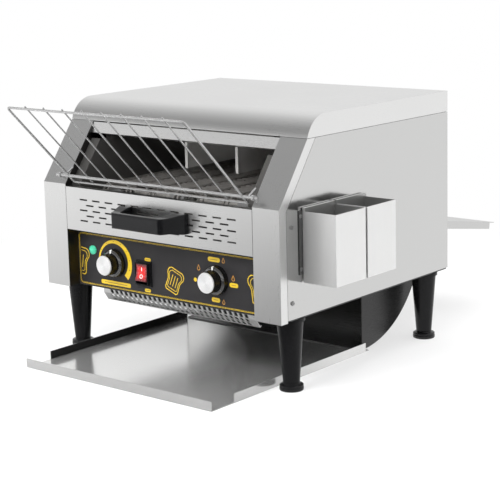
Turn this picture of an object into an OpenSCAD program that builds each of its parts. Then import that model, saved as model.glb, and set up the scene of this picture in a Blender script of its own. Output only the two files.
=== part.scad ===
// Countertop conveyor toaster.
// Bread lies on the wire rack, slides onto a wire belt between two banks of heating tubes,
// drops behind the crumb tray and runs down a curved slide onto the output tray.
// Origin: on the table, under the middle of the body. X to the right, Y to the back, Z up.

/* [Body] */
// Width over the side panels
body_w = 470; // [440:1:500]
// Depth of the side panels
body_d = 428; // [410:1:450]
// Height of the top cover above the table
body_top = 394; // [386:1:402]
// Height of the underside above the table
body_bottom = 108; // [104:1:112]
// Sheet thickness
sheet = 1.2; // [1:0.1:1.5]
// Radius of the bend along the front of the top cover
hood_r = 45.5; // [40:0.5:50]
// Height of the seam between top cover and side panels
seam_z = 361.5; // [358:0.5:364]
// Height at which the sloped front begins
slope_z = 270; // [266:1:274]
// Width of each front cheek
cheek_w = 48; // [44:1:52]
// Depth of the cheeks' outer side returns
cheek_return = 15; // [12:1:18]

/* [Front] */
// Height of the lower edge of the drawer front
drawer_z = 199.5; // [196:0.5:203]
// Set-back of the control panel behind the cheeks
panel_back = 22; // [18:1:26]
// Rows of slots in the drawer front
slot_rows = 5; // [3:1:6]
// Distance between slots in a row
slot_pitch = 27; // [24:1:30]
// Length of one slot
slot_l = 16; // [12:1:19]
// Width of the handle's grip
grip_w = 96; // [80:1:110]
// Distance from the drawer front to the face of the grip
grip_out = 43; // [36:1:48]
// Sideways place of the speed knob
speed_x = -107; // [-112:1:-102]
// Sideways place of the mode knob
mode_x = 99.5; // [94:0.5:105]
// Height of both knobs
knob_z = 151; // [147:1:155]
// Diameter of a knob's skirt
knob_skirt_d = 44; // [38:1:46]
// Length of a knob
knob_l = 25; // [22:1:30]
// Sideways place of the rocker switch
rocker_x = -45; // [-50:1:-40]

/* [Rack] */
// Width of the loading rack over its side rods
rack_w = 348; // [330:1:350]
// Length of the rack from the pivot rod to its outer rod
rack_l = 166; // [150:1:180]
// Tilt of the rack above level
rack_tilt = 45; // [40:1:46]
// Inner wires of the rack
rack_wires = 8; // [6:1:9]

/* [Conveyor] */
// Width of the wire belt
belt_w = 304; // [290:1:310]
// Height of the top of the belt
belt_z = 268; // [264:1:272]
// Front end of the straight run of the belt
belt_front = -150; // [-156:1:-144]
// Rear end of the straight run of the belt
belt_rear = 96; // [86:1:100]
// Outer radius of the belt at its ends
belt_r = 22; // [20:0.5:24]
// Rod distance along the belt
belt_pitch = 12.3; // [11:0.1:16]

/* [Tray and slide] */
// Width of the output tray
tray_w = 374; // [360:1:378]
// Front edge of the output tray
tray_front = -311; // [-320:1:-300]
// Height of the tray's rims
tray_rim = 14; // [10:1:18]
// Radius of the curved slide
slide_r = 170; // [160:1:174]
// Place where the slide leaves the tray's floor
slide_start = 50; // [44:1:52]
// Length of the rear shelf behind the body
shelf_out = 217; // [180:1:230]
// Fall of the rear shelf
shelf_tilt = 9.6; // [7:0.1:12]

/* [Legs] */
// Distance of the leg axis from the side
leg_side = 22; // [21:0.5:26]
// Distance of the front legs behind the front
leg_front = 48; // [44:1:56]
// Distance of the rear legs from the back
leg_rear = 36; // [32:1:42]

/* [Utensil boxes] */
// Depth of a box, away from the side panel
box_out = 59; // [50:1:65]
// Length of a box along the side panel
box_l = 70.7; // [60:0.1:72]
// Height of a box
box_h = 102; // [90:0.5:110]
// Height of the underside of the boxes
box_z = 159.5; // [150:0.5:168]

/* [Hidden] */

half_w = body_w / 2;
front_y = -body_d / 2;
rear_y = body_d / 2;
inner_x = half_w - cheek_w;
hood_z = body_top - hood_r;
hood_front = front_y + 66;
hood_y = hood_front + sqrt(hood_r * hood_r - pow(seam_z - hood_z, 2));
slope_a = atan2(seam_z - slope_z, hood_front - front_y);
play = 0.5;

// Legs
leg_x = half_w - leg_side;
leg_fy = front_y + leg_front;
leg_ry = rear_y - leg_rear;
foot_h = 12;

// Inner cell
wall_x = 168;
wall_front = front_y + 14;
wall_rear = rear_y - 24;
wall_bottom = drawer_z + 4;
wall_top = 372;
axle_z = belt_z - belt_r;
belt_wire = 2.4;
roller_r = belt_r - belt_wire - 0.4;
axle_r = 5;
bush_r = 8;

// Chain drive on the right of the cell
chain_x = 182;
motor_y = 20;
motor_z = axle_z + 52;
sprocket_teeth = 10;
sprocket_r = 15;

// Rack pivot
pivot_y = front_y - 3.5;
pivot_z = slope_z + 14.5;
pivot_r = 2.2;
rack_rod_r = 1.9;
rack_wire_r = 1.2;
rack_tail = 15.8;

// Control panel
panel_y = front_y + panel_back;
panel_z = body_bottom - 0.5;
knob_r = 15.7;
rocker_z = 142.5;
rocker_w = 22;
rocker_h = 28.4;
rocker_pin_r = 1.5;
rocker_hole_w = rocker_w + 3.8;
rocker_hole_h = rocker_h + 5.8;
spindle_r = 3;
spindle_in = 9;
lamp_x = -154;
lamp_z = 166;

// Shelf and outlet at the back
shelf_w = tray_w;
shelf_z = 180;
outlet_w = 336;
outlet_z = 184;
outlet_h = 52;

// Cable gland in the back
gland_x = -190;
gland_z = 140;
gland_r = 7.9;

// Boxes on the right side
box_front = front_y + 50;
box_gap = 4.4;
plate_y = box_front - 8;
plate_l = 2 * box_l + box_gap + 16;
plate_top = 263;

// ---------- shared shapes ----------

// Outline in Y and Z, pushed along X from x0
module along_x(x0, len) {
    translate([x0, 0, 0]) rotate([90, 0, 90]) linear_extrude(len) children();
}

// Outline in X and Z, pushed along Y from y0
module along_y(y0, len) {
    translate([0, y0 + len, 0]) rotate([90, 0, 0]) linear_extrude(len) children();
}

// Box given by its lowest corner and size
module block(at, size) {
    translate(at) cube(size);
}

// Round bar along X, centred
module bar_x(y, z, len, r, fn = 24) {
    translate([-len / 2, y, z]) rotate([0, 90, 0]) cylinder(h = len, r = r, $fn = fn);
}

// Round bar in a plane of constant X, from one Y-Z point along an angle
module bar_yz(x, y, z, angle, len, r, fn = 16) {
    translate([x, y, z]) rotate([angle - 90, 0, 0]) cylinder(h = len, r = r, $fn = fn);
}

module both_sides() {
    children();
    mirror([1, 0, 0]) children();
}

// Pan-head screw whose head sits on a face looking along -Y
module screw_head(r = 3.6, h = 2) {
    rotate([90, 0, 0]) difference() {
        cylinder(h = h, r1 = r, r2 = r * 0.75, $fn = 24);
        translate([-r * 0.5, -0.5, h - 0.8]) cube([r, 1, 1]);
        translate([-0.5, -r * 0.5, h - 0.8]) cube([1, r, 1]);
    }
}

// ---------- casing ----------

// Side view of the top cover, grown inward by t
module hood_outline(t) {
    top = body_top - t;
    rear = rear_y - t;
    drop = t > 0 ? 2 : 0;
    translate([hood_y, seam_z - drop]) square([rear - hood_y, top - seam_z + drop]);
    intersection() {
        translate([hood_y, hood_z]) circle(r = hood_r - t, $fn = 96);
        translate([hood_y - hood_r, seam_z - drop]) square([hood_r + 1, body_top - seam_z + drop]);
    }
}

module top_cover() color("silver") {
    difference() {
        along_x(-half_w, body_w) hood_outline(0);
        along_x(-half_w + sheet, body_w - 2 * sheet) hood_outline(sheet);
    }
    // rolled edge over the feed opening
    bar_x(hood_front + 0.9, seam_z + 0.9, 2 * inner_x - 4, 1.5, 16);
}

// Side view of the side panel
function side_outline(back, low) = [
    [front_y + back, low],
    [front_y + back, slope_z - back * tan((90 - slope_a) / 2)],
    [hood_front + back / sin(slope_a), seam_z - play],
    [rear_y, seam_z - play],
    [rear_y, low]
];

module side_panel(vents) {
    low = body_bottom + 2.5;
    difference() {
        union() {
            along_x(half_w - sheet, sheet) polygon(side_outline(cheek_return + play, low));
            block([half_w - 12, rear_y - 2 * sheet - play, low + 16], [12 - sheet / 2, sheet, seam_z - low - 20]);
        }
        if (vents) {
            for (row = [0 : 7]) {
                block([half_w - 3, 20, body_bottom + 24 + row * 9], [6, 110, 3.2]);
            }
        }
    }
}

module side_panel_right() color("silver") side_panel(false);
module side_panel_left() color("silver") mirror([1, 0, 0]) side_panel(true);

// Band of a given depth behind the line of the front
function front_band(depth) = [
    [front_y, body_bottom - 0.5],
    [front_y, slope_z],
    [hood_front, seam_z - play],
    [hood_front + depth / sin(slope_a), seam_z - play],
    [front_y + depth, slope_z - depth * tan((90 - slope_a) / 2)],
    [front_y + depth, body_bottom - 0.5]
];

module cheek() {
    along_x(inner_x, cheek_w) polygon(front_band(sheet));
    along_x(half_w - sheet, sheet) polygon(front_band(cheek_return));
    along_x(inner_x, sheet) polygon(front_band(panel_back - play));
}

module front_cheek_right() color("gainsboro") cheek();
module front_cheek_left() color("gainsboro") mirror([1, 0, 0]) cheek();

// Strip under the hood, steeper than the slope, with folds at both edges
module opening_lip() color("lightgray") {
    strip = 17;
    fold = 14;
    lean = 18;
    w = 2 * inner_x - 1;
    translate([-w / 2, hood_front, seam_z - 1.8])
    rotate([-lean, 0, 0]) {
        block([0, 0, -strip], [w, sheet, strip]);
        block([0, 0, -strip], [w, fold, sheet]);
        block([0, 0, -sheet], [w, 6, sheet]);
    }
}

module rear_panel() color("silver") {
    difference() {
        union() {
            block([-half_w + sheet + play, rear_y - sheet, body_bottom + 2.5],
                  [body_w - 2 * sheet - 2 * play, sheet, seam_z - play - body_bottom - 2.5]);
            // collar round the outlet
            block([-outlet_w / 2 - 3, rear_y, outlet_z - 3], [outlet_w + 6, 4, outlet_h + 6]);
        }
        block([-outlet_w / 2, rear_y - 5, outlet_z], [outlet_w, 20, outlet_h]);
        for (side = [-1, 1], row = [0 : 5]) {
            block([side * 95 - 50, rear_y - 5, 290 + row * 9], [100, 10, 3.5]);
        }
        translate([gland_x, rear_y - 5, gland_z]) rotate([-90, 0, 0]) cylinder(h = 10, r = gland_r + 0.1, $fn = 32);
        // slots for the shelf's side flanges
        both_sides() block([shelf_w / 2 - 3.4, rear_y - 5, shelf_z - 16], [3.4, 10, 18]);
        block([-shelf_w / 2, rear_y - 5, shelf_z - 1.9], [shelf_w, 10, 3.4]);
    }
}

module base_pan() color("dimgray") {
    front = panel_y + sheet + play;
    depth = rear_y - sheet - play - front;
    w = body_w - 2 * sheet - 2 * play;
    drop_front = slide_start + 20;
    difference() {
        union() {
            block([-w / 2, front, body_bottom], [w, depth, sheet]);
            both_sides() block([w / 2 - sheet, front, body_bottom], [sheet, depth, 10]);
            block([-w / 2, rear_y - 2 * sheet - play, body_bottom], [w, sheet, 14]);
            block([-w / 2, front, body_bottom], [w, sheet, 14]);
            // lip that shuts the gap behind the guard's upper row of slots
            block([guard_x, guard_y + 5, body_bottom - guard_face - 0.5], [guard_w, sheet, guard_face + 0.5]);
            // raised rim round the drop opening
            block([-wall_x, drop_front - sheet, body_bottom], [2 * wall_x, sheet, 16]);
        }
        block([-wall_x + sheet, drop_front, body_bottom - 5],
              [2 * (wall_x - sheet), rear_y - 12 - drop_front, 20]);
        for (x = [-leg_x, leg_x], y = [leg_fy, leg_ry]) {
            translate([x, y, body_bottom - 5]) cylinder(h = 10, r = 4.2, $fn = 24);
        }
    }
}

// ---------- control panel ----------

module control_panel() color("dimgray") {
    top = drawer_z - 2;
    w = 2 * inner_x - 1;
    difference() {
        union() {
            block([-w / 2, panel_y, panel_z], [w, sheet, top - panel_z]);
            block([-w / 2, panel_y, top - sheet], [w, 16, sheet]);
        }
        for (x = [speed_x, mode_x]) {
            translate([x, panel_y - 5, knob_z]) rotate([-90, 0, 0]) cylinder(h = 10, r = 5.1, $fn = 32);
        }
        block([rocker_x - rocker_hole_w / 2, panel_y - 5, rocker_z - rocker_hole_h / 2],
              [rocker_hole_w, 10, rocker_hole_h]);
        translate([lamp_x, panel_y - 5, lamp_z]) rotate([-90, 0, 0]) cylinder(h = 10, r = 6.05, $fn = 32);
    }
}

// Folded strip under the control panel: a short upright face and a sloping one,
// with rows of slanted slots in both
guard_x = -136;
guard_w = 306;
guard_tilt = 55;
guard_y = panel_y + sheet + 0.6;
guard_face = 7.5;
guard_slope = 15.4;

// Slots through an upright sheet at y 0, one row from z0 up to z0 + h
module slot_row(z0, h) {
    pitch = 10;
    slot_w = 6;
    slant = 3;
    count = floor((guard_w - 20) / pitch);
    margin = (guard_w - (count - 1) * pitch - slot_w - slant) / 2;
    translate([0, sheet + 1, 0]) rotate([90, 0, 0]) linear_extrude(sheet + 2)
        for (i = [0 : count - 1]) translate([margin + i * pitch, z0]) {
            polygon([[slant, 0], [slant + slot_w, 0], [slot_w, h], [0, h]]);
        }
}

module bottom_guard() color("lightgray") {
    slot_h = 5.4;
    hem = 4;
    translate([guard_x, guard_y, body_bottom]) {
        difference() {
            block([0, 0, -guard_face], [guard_w, sheet, guard_face]);
            slot_row(1 - guard_face, slot_h);
        }
        // flange screwed up against the base pan
        block([0, 0, -sheet], [guard_w, 4, sheet]);
        translate([0, 0, -guard_face]) rotate([90 - guard_tilt, 0, 0]) {
            difference() {
                block([0, 0, -guard_slope], [guard_w, sheet, guard_slope + 0.4]);
                slot_row(-1 - slot_h, slot_h);
                slot_row(-2.8 - 2 * slot_h, slot_h);
            }
            block([0, 0, -guard_slope], [guard_w, hem, sheet]);
        }
    }
}

// Skirted knob that turns about an axis along Y, its face toward -Y
module knob(x) {
    skirt_r = knob_skirt_d / 2;
    skirt_h = 7;
    translate([x, panel_y - 0.4, knob_z]) rotate([90, 0, 0]) difference() {
        union() {
            cylinder(h = skirt_h, r1 = skirt_r, r2 = skirt_r - 0.8, $fn = 64);
            translate([0, 0, skirt_h]) cylinder(h = 2.6, r1 = skirt_r - 1.2, r2 = knob_r + 1.2, $fn = 64);
            translate([0, 0, skirt_h]) cylinder(h = knob_l - skirt_h - 2, r = knob_r, $fn = 64);
            for (a = [0 : 20 : 340]) {
                rotate([0, 0, a]) block([knob_r - 0.8, -1, skirt_h], [1.4, 2, knob_l - skirt_h - 4]);
            }
            translate([0, 0, knob_l - 2]) cylinder(h = 0.8, r = knob_r - 0.2, $fn = 64);
        }
        translate([0, 0, -1]) cylinder(h = 16, r = spindle_r + 0.02, $fn = 32);
    }
    // raised mark on the skirt
    translate([x, panel_y - 0.4, knob_z + knob_r]) rotate([90, 0, 0]) block([-0.9, 0, skirt_h - 1], [1.8, 4.2, 4]);
}

module knob_cap(x) {
    translate([x, panel_y - 0.4 - knob_l + 1.2, knob_z]) rotate([90, 0, 0])
        cylinder(h = 1.6, r1 = knob_r - 0.2, r2 = knob_r - 0.8, $fn = 64);
}

module speed_knob() color("black") knob(speed_x);
module speed_cap() color("silver") knob_cap(speed_x);
module mode_knob() color("black") knob(mode_x);
module mode_cap() color("silver") knob_cap(mode_x);

// Body and threaded bush of a rotary control behind the panel
module rotary_control(x, body_r, body_l) {
    translate([x, panel_y, knob_z]) rotate([90, 0, 0]) difference() {
        union() {
            translate([0, 0, -sheet - body_l]) cylinder(h = body_l, r = body_r, $fn = 48);
            translate([0, 0, -sheet - 1]) cylinder(h = sheet + 1, r = 4.9, $fn = 32);
        }
        translate([0, 0, -sheet - spindle_in - 0.5]) cylinder(h = spindle_in + 3, r = spindle_r + 0.06, $fn = 32);
    }
    for (i = [-1 : 1]) {
        block([x + i * 6 - 1, panel_y + sheet + body_l - 1, knob_z - body_r - 5], [2, 0.8, 8]);
    }
}

// Spindle that carries a knob and turns in the control's bush
module spindle(x) {
    translate([x, panel_y, knob_z]) rotate([90, 0, 0]) translate([0, 0, -sheet - spindle_in])
        cylinder(h = spindle_in + sheet + 14.5, r = spindle_r, $fn = 32);
}

module speed_spindle() color("silver") spindle(speed_x);
module mode_spindle() color("silver") spindle(mode_x);

module speed_regulator() color("darkslategray") rotary_control(speed_x, 12, 14);
module mode_selector() color("darkslategray") rotary_control(mode_x, 19, 34);

// Snap-in switch body with a flange and a raised collar round the button
module rocker_bezel() color("black") {
    wall = 1.4;
    in_w = rocker_w + 0.8;
    in_h = rocker_h + 2.6;
    border = 4;
    collar = 8;
    depth = 26;
    difference() {
        union() {
            block([rocker_x - in_w / 2 - border, panel_y - 2, rocker_z - in_h / 2 - border],
                  [in_w + 2 * border, 2, in_h + 2 * border]);
            block([rocker_x - in_w / 2 - wall, panel_y - collar, rocker_z - in_h / 2 - wall],
                  [in_w + 2 * wall, depth + collar, in_h + 2 * wall]);
        }
        block([rocker_x - in_w / 2, panel_y - collar - 1, rocker_z - in_h / 2], [in_w, depth + collar, in_h]);
        translate([rocker_x, panel_y + 7, rocker_z]) bar_x(0, 0, in_w + 1.6, rocker_pin_r + 0.06, 24);
    }
}

// Rocker button, its upper end pressed in, turning on short pins
module rocker_button() color("red") {
    tip = 8;
    rise = rocker_h / 2 - 1.3;
    translate([rocker_x, panel_y + 7, rocker_z]) {
        rotate([-tip, 0, 0]) difference() {
            along_x(-rocker_w / 2, rocker_w) polygon([
                [-16, -rise], [-14.6, -rise / 2], [-14, 0], [-14.6, rise / 2], [-16, rise],
                [-4, rise - 1.5], [2, rise / 2], [2, -rise / 2], [-4, 1.5 - rise]
            ]);
            along_x(-rocker_w / 2 + 3, rocker_w - 6) polygon([[-3, 4 - rise], [-3, rise - 4], [3, 4], [3, -4]]);
        }
        bar_x(0, 0, rocker_w + 1.8, rocker_pin_r, 24);
    }
}

module indicator_lens() color("limegreen") {
    translate([lamp_x, panel_y, lamp_z]) rotate([90, 0, 0]) {
        cylinder(h = 1.6, r = 7.2, $fn = 48);
        translate([0, 0, 1.6]) intersection() {
            translate([0, 0, -4]) sphere(r = 7.6, $fn = 40);
            cylinder(h = 4, r = 8, $fn = 40);
        }
        translate([0, 0, -18]) cylinder(h = 18.5, r = 5.9, $fn = 32);
    }
}

// ---------- drawer ----------

module drawer_front() color("gainsboro") {
    w = 2 * inner_x - 1.2;
    h = slope_z - 3.5 - drawer_z;
    field = w - 58;
    row_pitch = 8.2;
    top_row = drawer_z + 49;
    difference() {
        union() {
            block([-w / 2, front_y, drawer_z], [w, sheet, h]);
            block([-w / 2, front_y, drawer_z + h - sheet], [w, 11, sheet]);
            block([-w / 2, front_y, drawer_z], [w, 11, sheet]);
            both_sides() block([w / 2 - sheet, front_y, drawer_z], [sheet, 11, h]);
        }
        for (row = [0 : slot_rows - 1]) {
            odd = row % 2;
            count = floor((field - slot_l - odd * slot_pitch) / slot_pitch) + 1;
            for (i = [0 : count - 1]) {
                x = (i - (count - 1) / 2) * slot_pitch;
                block([x - slot_l / 2, front_y - 2, top_row - row * row_pitch - 1.1], [slot_l, 6, 2.2]);
            }
        }
        // holes for the handle screws
        both_sides() for (z = [-8, 8]) {
            translate([grip_w / 2 + 9, front_y - 2, drawer_z + 34 + z]) rotate([-90, 0, 0])
                cylinder(h = 6, r = 2.1, $fn = 24);
        }
    }
}

// Crumb pan behind the drawer front: floor, low rims and two brackets to the front
module crumb_tray() color("lightgray") {
    w = 2 * (wall_x - 4);
    y0 = front_y + 11.2;
    y1 = belt_rear - 30;
    floor_z = drawer_z + 6;
    rim = 12;
    difference() {
        block([-w / 2, y0, floor_z], [w, y1 - y0, rim]);
        block([-w / 2 + sheet, y0 + sheet, floor_z + sheet], [w - 2 * sheet, y1 - y0 - 2 * sheet, rim]);
    }
    both_sides() block([w / 2 - 30, front_y + sheet, drawer_z + sheet],
                       [18, 10.4, 12.4]);
}

// Moulded bail handle: two splayed arms and an upright grip
module drawer_handle() color("black") {
    grip_h = 23;
    root_h = 29;
    mid_z = drawer_z + 34;
    face_y = front_y - grip_out;
    grip_t = 9;
    root_in = 45;
    root_out = 67;
    rise = root_h / 2;
    intersection() {
        translate([0, 0, mid_z - rise]) linear_extrude(root_h) difference() {
            polygon([
                [-root_out, front_y], [-root_out + 1, front_y - 6], [-grip_w / 2 - 3, face_y + 5],
                [-grip_w / 2 + 2, face_y], [grip_w / 2 - 2, face_y], [grip_w / 2 + 3, face_y + 5],
                [root_out - 1, front_y - 6], [root_out, front_y]
            ]);
            polygon([
                [-root_in, front_y + 1], [-root_in, front_y - 5], [-grip_w / 2 + 9, face_y + grip_t + 3],
                [-grip_w / 2 + 12, face_y + grip_t], [grip_w / 2 - 12, face_y + grip_t],
                [grip_w / 2 - 9, face_y + grip_t + 3], [root_in, front_y - 5], [root_in, front_y + 1]
            ]);
        }
        along_x(-root_out - 1, 2 * root_out + 2) polygon([
            [front_y, mid_z - rise], [front_y - 9, mid_z - rise], [face_y + 14, mid_z - grip_h / 2],
            [face_y + 2, mid_z - grip_h / 2], [face_y, mid_z - grip_h / 2 + 2],
            [face_y, mid_z + grip_h / 2 - 2], [face_y + 2, mid_z + grip_h / 2],
            [face_y + 14, mid_z + grip_h / 2], [front_y - 9, mid_z + rise], [front_y, mid_z + rise]
        ]);
    }
}

// ---------- toasting cell ----------

module inner_wall() {
    mouth_z = seam_z - 27;
    mouth_y = wall_front + (mouth_z - slope_z) / tan(slope_a);
    step_y = hood_front + 10;
    difference() {
        union() {
            along_x(wall_x, sheet) polygon([
                [wall_front, wall_bottom], [wall_front, slope_z], [mouth_y, mouth_z],
                [step_y, mouth_z], [step_y, wall_top], [wall_rear, wall_top], [wall_rear, wall_bottom]
            ]);
            // front flange out to the cheek, bottom and rear flanges
            along_x(wall_x, inner_x - wall_x - play) polygon([
                [wall_front, wall_bottom], [wall_front, slope_z], [mouth_y, mouth_z],
                [mouth_y + sheet / sin(slope_a), mouth_z],
                [wall_front + sheet, slope_z - sheet / 3], [wall_front + sheet, wall_bottom]
            ]);
            block([wall_x, wall_front, wall_bottom], [12, wall_rear - wall_front, sheet]);
            block([wall_x, wall_rear - sheet, wall_bottom], [12, sheet, wall_top - wall_bottom]);
            // runner of the crumb tray
            block([wall_x - 11, wall_front, wall_bottom], [11.5, belt_rear - 26 - wall_front, sheet]);
        }
        for (y = [belt_front, belt_rear]) {
            translate([wall_x - 3, y, axle_z]) rotate([0, 90, 0]) cylinder(h = 8, r = bush_r - 2, $fn = 40);
        }
        for (y = tube_places, z = [upper_tube_z, lower_tube_z]) {
            translate([wall_x - 3, y, z]) rotate([0, 90, 0]) cylinder(h = 8, r = 6, $fn = 32);
        }
    }
    // feet that stand on the base pan
    for (y = [wall_front + 40, wall_rear - 30]) {
        block([wall_x, y, body_bottom + sheet], [sheet, 24, wall_bottom - body_bottom - sheet / 2]);
    }
}

module inner_wall_right() color("darkgray") inner_wall();
module inner_wall_left() color("darkgray") mirror([1, 0, 0]) inner_wall();

tube_places = [-104, -50, 4, 58];
upper_tube_z = 344;
lower_tube_z = axle_z;

// Flat-flex wire belt: each wire runs across the belt and steps to its neighbour in slanted
// hooks, so that the straight lengths and the hooks leave two kinds of windows open.
belt_hooks = 7;
hook_step = (belt_w - 11) / (belt_hooks - 1);
hook_foot = 11;
hook_tip = 5.4;

// Place of a hook's middle across the belt
function hook_x(j) = 5.5 + j * hook_step;

module belt_run(z) {
    len = belt_rear - belt_front;
    rods = floor(len / belt_pitch);
    step = len / rods;
    wire = 1.7;
    low = wire / 2;
    high = step - wire / 2;
    // the slanted legs of a hook lie between its foot and its tip
    foot = hook_foot / 2;
    tip = hook_tip / 2;
    slant = 2;
    translate([-belt_w / 2, belt_front, z]) linear_extrude(belt_wire) difference() {
        square([belt_w, len]);
        for (i = [0 : rods - 1]) translate([0, i * step]) {
            for (j = [0 : belt_hooks - 2]) {
                polygon([
                    [hook_x(j) + foot, low], [hook_x(j + 1) - foot, low],
                    [hook_x(j + 1) - tip, high], [hook_x(j) + tip, high]
                ]);
            }
            for (j = [0 : belt_hooks - 1]) {
                polygon([
                    [hook_x(j) - foot + slant, low], [hook_x(j) + foot - slant, low],
                    [hook_x(j) + tip - slant, high], [hook_x(j) - tip + slant, high]
                ]);
            }
        }
    }
}

// The belt's turn round a roller: rows of wires and the two legs of each hook
module belt_end(y, front) {
    wire = 1.7;
    middle = belt_r - belt_wire / 2;
    dir = front ? -1 : 1;
    for (j = [0 : belt_hooks - 1], side = [-1, 1]) {
        x = hook_x(j) - belt_w / 2 + side * (hook_foot + hook_tip) / 4 - wire / 2;
        translate([x, y, axle_z]) rotate([0, 90, 0]) difference() {
            cylinder(h = wire, r = belt_r, $fn = 64);
            translate([0, 0, -1]) cylinder(h = wire + 2, r = belt_r - belt_wire, $fn = 64);
            block([-belt_r - 1, front ? 0 : -belt_r - 1, -1], [2 * belt_r + 2, belt_r + 1, wire + 2]);
        }
    }
    for (a = [-60 : 30 : 60]) {
        bar_x(y + dir * middle * cos(a), axle_z + middle * sin(a), belt_w, belt_wire / 2, 16);
    }
}

module conveyor_belt() color("dimgray") {
    belt_run(belt_z - belt_wire);
    belt_run(axle_z - belt_r);
    belt_end(belt_front, true);
    belt_end(belt_rear, false);
}

// Shaft with three rollers that carry the belt
module roller_shaft(y, right_end) {
    translate([-wall_x - 6, y, axle_z]) rotate([0, 90, 0])
        cylinder(h = wall_x + 6 + right_end, r = axle_r, $fn = 40);
    for (x = [-belt_w / 2 + 6, -14, belt_w / 2 - 34]) {
        translate([x, y, axle_z]) rotate([0, 90, 0]) difference() {
            cylinder(h = 28, r = roller_r, $fn = 48);
            for (z = [-1, 25]) {
                translate([0, 0, z]) rotate_extrude($fn = 48) translate([9, 0]) square([roller_r - 12, 4]);
            }
        }
    }
}

// Toothed wheel: outline with a tooth on each step, round the X axis
module sprocket(x, y, z, teeth, r, bore) {
    step = 360 / teeth;
    translate([x, y, z]) rotate([0, 90, 0]) difference() {
        union() {
            linear_extrude(3) polygon([
                for (i = [0 : teeth - 1], k = [0 : 3])
                    let (a = (i + [0, 0.22, 0.5, 0.72][k]) * step, rr = k < 2 ? r + 1.6 : r - 2.2)
                    [rr * cos(a), rr * sin(a)]
            ]);
            translate([0, 0, -5]) cylinder(h = 5.5, r = 8, $fn = 32);
        }
        translate([0, 0, -6]) cylinder(h = 12, r = bore, $fn = 32);
    }
}

module drive_shaft() color("gray") {
    roller_shaft(belt_rear, chain_x - 1);
    sprocket(chain_x, belt_rear, axle_z, 16, sprocket_r * 1.5, 2);
    translate([chain_x - 4, belt_rear, axle_z]) rotate([0, 90, 0]) cylinder(h = 8, r = axle_r, $fn = 40);
}

module idler_shaft() color("gray") roller_shaft(belt_front, wall_x + 6);

// Flanged bush with a running bore, pressed into the inner wall
module shaft_bush(y) {
    translate([wall_x - 2.5, y, axle_z]) rotate([0, 90, 0]) difference() {
        union() {
            cylinder(h = 2.5, r = bush_r, $fn = 40);
            cylinder(h = 5.5, r = bush_r - 2, $fn = 40);
        }
        translate([0, 0, -1]) cylinder(h = 8, r = axle_r + 0.06, $fn = 40);
    }
}

module shaft_bushes() color("goldenrod") {
    both_sides() for (y = [belt_front, belt_rear]) {
        shaft_bush(y);
    }
}

// Gear motor on a bracket beside the right inner wall
module gear_motor() color("slategray") {
    difference() {
        union() {
            translate([0, motor_y, motor_z]) rotate([0, 90, 0]) {
                translate([0, 0, chain_x + 8]) cylinder(h = 22, r = 24, $fn = 48);
                translate([0, 0, chain_x + 30]) cylinder(h = 16, r = 20, $fn = 48);
            }
            block([wall_x + sheet, motor_y - 30, motor_z + 26], [24, 60, 2]);
            block([chain_x + 8, motor_y - 30, motor_z - 24], [2, 60, 52]);
        }
        translate([chain_x, motor_y, motor_z]) rotate([0, 90, 0]) cylinder(h = 19, r = 4.06, $fn = 32);
    }
}

module motor_sprocket() color("gray") {
    sprocket(chain_x, motor_y, motor_z, sprocket_teeth, sprocket_r, 3);
    translate([chain_x - 5, motor_y, motor_z]) rotate([0, 90, 0]) cylinder(h = 22, r = 4, $fn = 32);
}

// Chain as a closed band round both sprockets, with rows of roller holes
module drive_chain() color("dimgray") {
    big = sprocket_r * 1.5 + 3.4;
    small = sprocket_r + 3.4;
    dy = belt_rear - motor_y;
    dz = axle_z - motor_z;
    gap = sqrt(dy * dy + dz * dz);
    tilt = atan2(dz, dy);
    lean = asin((big - small) / gap);
    thick = 2.4;
    translate([chain_x - 1, motor_y, motor_z]) rotate([90, 0, 90]) rotate([0, 0, tilt]) difference() {
        linear_extrude(5) polygon(concat(
            [for (a = [90 + lean : 12 : 270 - lean]) [(small + thick) * cos(a), (small + thick) * sin(a)]],
            [for (a = [-90 - lean : 12 : 90 + lean + 6])
                [gap + (big + thick) * cos(a), (big + thick) * sin(a)]]
        ));
        translate([0, 0, -1]) linear_extrude(7) polygon(concat(
            [for (a = [90 + lean : 12 : 270 - lean]) [small * cos(a), small * sin(a)]],
            [for (a = [-90 - lean : 12 : 90 + lean + 6]) [gap + big * cos(a), big * sin(a)]]
        ));
    }
}

// Quartz tubes with ceramic ends through the inner walls
module heating_tubes() color("orange") {
    for (y = tube_places, z = [upper_tube_z, lower_tube_z]) {
        bar_x(y, z, 2 * wall_x, 4.6, 32);
        both_sides() translate([wall_x - 8, y, z]) rotate([0, 90, 0]) cylinder(h = 19, r = 5.95, $fn = 32);
    }
}

// Folded reflector: a shallow trough over each tube
function trough_points(z, dir, t) = concat(
    [[tube_places[0] - 17, z + t]],
    [for (y = tube_places, k = [0 : 2])
        [y + [-13, 0, 13][k], z + t + dir * [4, 7, 4][k]]],
    [[tube_places[3] + 17, z + t]]
);

module reflector(z, dir) {
    upper = trough_points(z, dir, sheet);
    lower = trough_points(z, dir, 0);
    count = len(lower);
    along_x(-wall_x + play, 2 * (wall_x - play))
        polygon(concat(upper, [for (i = [count - 1 : -1 : 0]) lower[i]]));
}

module reflectors() color("silver") {
    reflector(upper_tube_z + 12, 1);
    reflector(lower_tube_z - 11, -1);
}

// Two plates that hang on the upper tubes and part the bread into lanes
module lane_guides() color("lightgray") {
    x = 51;
    y0 = -84;
    y1 = 84;
    low = belt_z + 20;
    both_sides() {
        difference() {
            block([x - sheet / 2, y0, low], [sheet, y1 - y0, upper_tube_z + 10 - low]);
            for (y = tube_places) {
                translate([x - 5, y, upper_tube_z]) rotate([0, 90, 0]) cylinder(h = 10, r = 5.4, $fn = 32);
            }
        }
        block([x - 2.6, y0, low], [5.2, sheet, upper_tube_z + 10 - low]);
    }
}

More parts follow.
